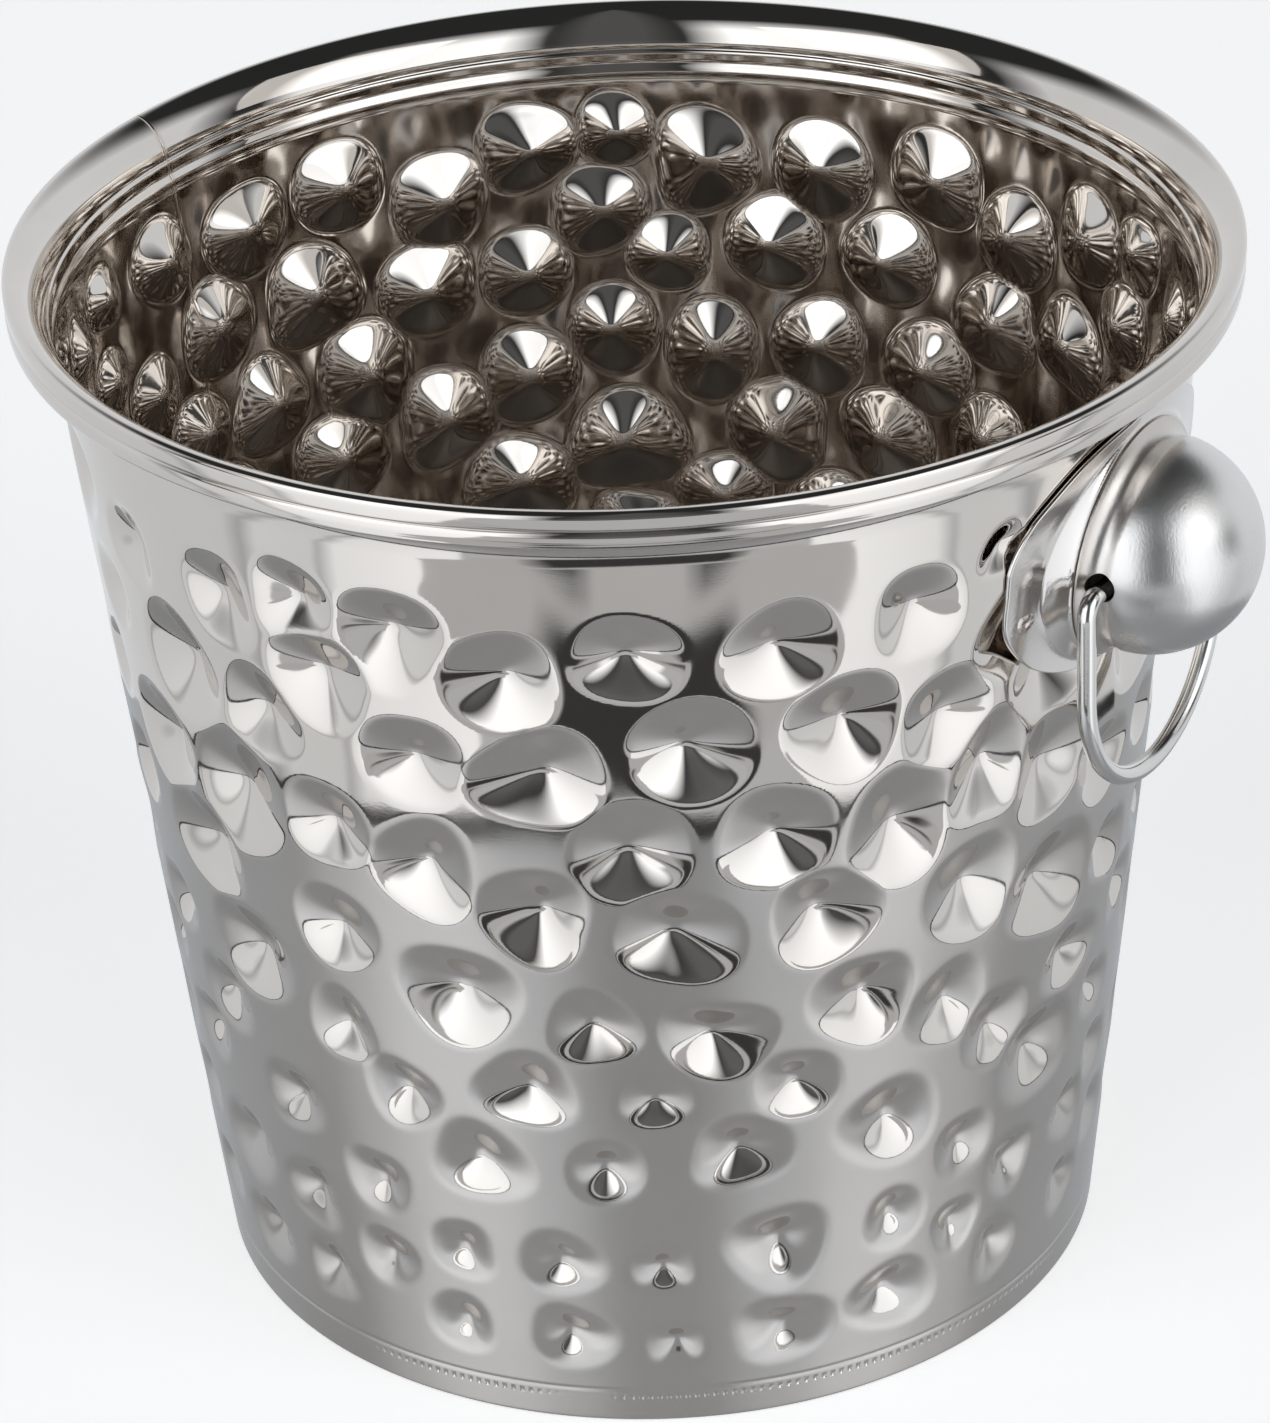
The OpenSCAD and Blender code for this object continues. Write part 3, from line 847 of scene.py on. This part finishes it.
# studio surroundings: white panels to both sides, dark behind the camera and overhead
world = bpy.data.worlds.new("studio")
bpy.context.scene.world = world
world.use_nodes = True
wt = world.node_tree
wt.nodes.clear()
wo = wt.nodes.new("ShaderNodeOutputWorld")
bg = wt.nodes.new("ShaderNodeBackground")
wt.links.new(bg.outputs[0], wo.inputs["Surface"])
w = NT(wt)
vec = wt.nodes.new("ShaderNodeTexCoord").outputs["Generated"]
vx, vy, vz = w.sep(vec)[0], w.sep(vec)[1], w.sep(vec)[2]
hor = w.math("SQRT", w.math("ADD", w.math("MULTIPLY", vx, vx), w.math("MULTIPLY", vy, vy)))
front = w.math("DIVIDE", w.math("ADD", w.math("MULTIPLY", vx, cdir.x), w.math("MULTIPLY", vy, cdir.y)), w.math("MAXIMUM", hor, 1e-4))
elev = w.math("MULTIPLY", w.math("ARCTAN2", vz, hor), 180 / math.pi)
# angle from the camera's side, 0 to 180
az = w.math("MULTIPLY", w.math("ARCCOSINE", w.math("MULTIPLY", front, 0.99999)), 180 / math.pi)


def window(x, a0, a1, b1, b0):
    """0 below a0, 1 from a1 to b1, 0 above b0."""
    return w.math("MULTIPLY", w.rng(x, 0.0, 1.0, a0, a1), w.rng(x, 1.0, 0.0, b1, b0))


fall = w.rng(az, PANEL_NEAR, PANEL_FAR, 18.0, 74.0)
near_lum = w.math("MULTIPLY", window(az, 14.0, 24.0, 66.0, 75.0), fall)
back_lum = w.math("MULTIPLY", w.rng(az, 0.0, 1.0, 82.0, 95.0), w.math("MULTIPLY", w.rng(elev, 1.0, 0.0, 27.0, 44.0), BACK))
fill = w.math("MULTIPLY", w.math("MULTIPLY", window(az, 66.0, 72.0, 86.0, 96.0), w.rng(elev, 1.0, 0.0, -12.0, 0.0)), 0.95)
sides = w.math("MAXIMUM", w.math("ADD", near_lum, back_lum), fill)
# the panels' lower edge: at the sides they reach down past the table, in front they end above it
low = w.rng(az, -18.0, -60.0, 26.0, 46.0)
shade = w.rng(elev, 0.80, 1.0, -45.0, 5.0)
height = w.math("MULTIPLY", w.rng(w.math("SUBTRACT", elev, low), 0.0, 1.0, -3.0, 3.0), w.rng(elev, 1.0, 0.0, 34.0, 56.0))
lum = w.math("MULTIPLY", w.math("MULTIPLY", sides, height), shade)
# the camera's stand, a little lighter than the dark beside it, and the line of the floor behind
stand = w.math("ADD", w.math("MULTIPLY", w.rng(az, 0.085, 0.0, 6.0, 15.0), w.rng(elev, 0.0, 1.0, -16.0, -14.0)),
               w.rng(elev, 0.05, 0.0, -5.0, 10.0))
beyond = w.math("MULTIPLY", w.rng(elev, 0.62, 0.0, -19.5, -17.5), w.rng(az, 1.0, 0.0, 40.0, 50.0))
lum = w.math("ADD", w.math("MAXIMUM", w.math("ADD", lum, stand), beyond), AMBIENT)
wt.links.new(lum, bg.inputs["Strength"])
bg.inputs["Color"].default_value = (0.945, 0.985, 1.03, 1)


def area(name, loc, target, size, size_y, power, color=(1, 1, 1)):
    li = bpy.data.lights.new(name, "AREA")
    li.shape = "RECTANGLE"
    li.size, li.size_y = size, size_y
    li.energy = power
    li.color = color
    ob = bpy.data.objects.new(name, li)
    bpy.context.scene.collection.objects.link(ob)
    ob.location = loc
    ob.rotation_euler = (Vector(target) - Vector(loc)).to_track_quat("-Z", "Y").to_euler()
    return ob


def around(az, dist, height):
    """A place at an azimuth from the camera's side, positive to its right."""
    a = math.radians(-90 + CAM_AZ + az)
    return Vector((dist * math.cos(a), dist * math.sin(a), height))


area("key_left", around(-60, 1.5, 1.0), (0, 0, 0.1), 1.2, 1.2, KEY)
area("key_right", around(65, 1.5, 1.1), (0, 0, 0.1), 1.2, 1.2, KEY)

cam = bpy.data.cameras.new("camera")
cam_ob = bpy.data.objects.new("camera", cam)
bpy.context.scene.collection.objects.link(cam_ob)
EL, DIST, F_PX, CX, CY, ROLL, AIM = math.radians(29.11), 1.03268, 5667.4, 643.4, 719.9, math.radians(-2.39), 0.09725
a = math.radians(-90 + CAM_AZ)
back = Vector((math.cos(a) * math.cos(EL), math.sin(a) * math.cos(EL), math.sin(EL)))
right = Vector((-math.sin(a), math.cos(a), 0))
upv = back.cross(right)
cx_ax = right * math.cos(ROLL) + upv * math.sin(ROLL)
cy_ax = -right * math.sin(ROLL) + upv * math.cos(ROLL)
mat = Matrix.Identity(4)
for i in range(3):
    mat[i][0], mat[i][1], mat[i][2] = cx_ax[i], cy_ax[i], back[i]
    mat[i][3] = back[i] * DIST + (AIM if i == 2 else 0)
cam_ob.matrix_world = mat
cam.sensor_width = 36
cam.lens = F_PX * 36 / 1423
cam.shift_x = -(CX - 635) / 1423
cam.shift_y = (CY - 711.5) / 1423
cam.clip_start = 0.05
bpy.context.scene.camera = cam_ob
bpy.context.scene.view_settings.view_transform = "Standard"
bpy.context.scene.cycles.glossy_bounces = 10
bpy.context.scene.cycles.max_bounces = 14
